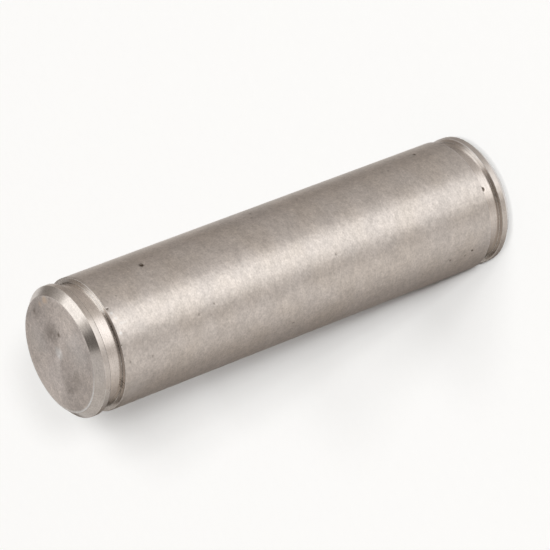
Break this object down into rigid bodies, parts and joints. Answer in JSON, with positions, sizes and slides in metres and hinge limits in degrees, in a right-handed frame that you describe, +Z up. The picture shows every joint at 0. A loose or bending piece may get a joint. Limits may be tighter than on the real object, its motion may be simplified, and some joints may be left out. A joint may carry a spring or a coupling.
{
  "type": "actuator pin",
  "caption": "Straight turned and ground steel pin with chamfered ends and a square retaining ring groove near each end.",
  "frame": {"origin": "centre of the lower end face, on the pin's axis", "axes": "+Z up along the pin's axis, towards the upper end"},
  "size_m": [0.0064, 0.0064, 0.0238],
  "materials": {
    "ground_steel": "ground body with turned ends, lightly worn"
  },
  "bodies": {
    "root": {"actuator_pin": "ground_steel"}
  },
  "joints": []
}
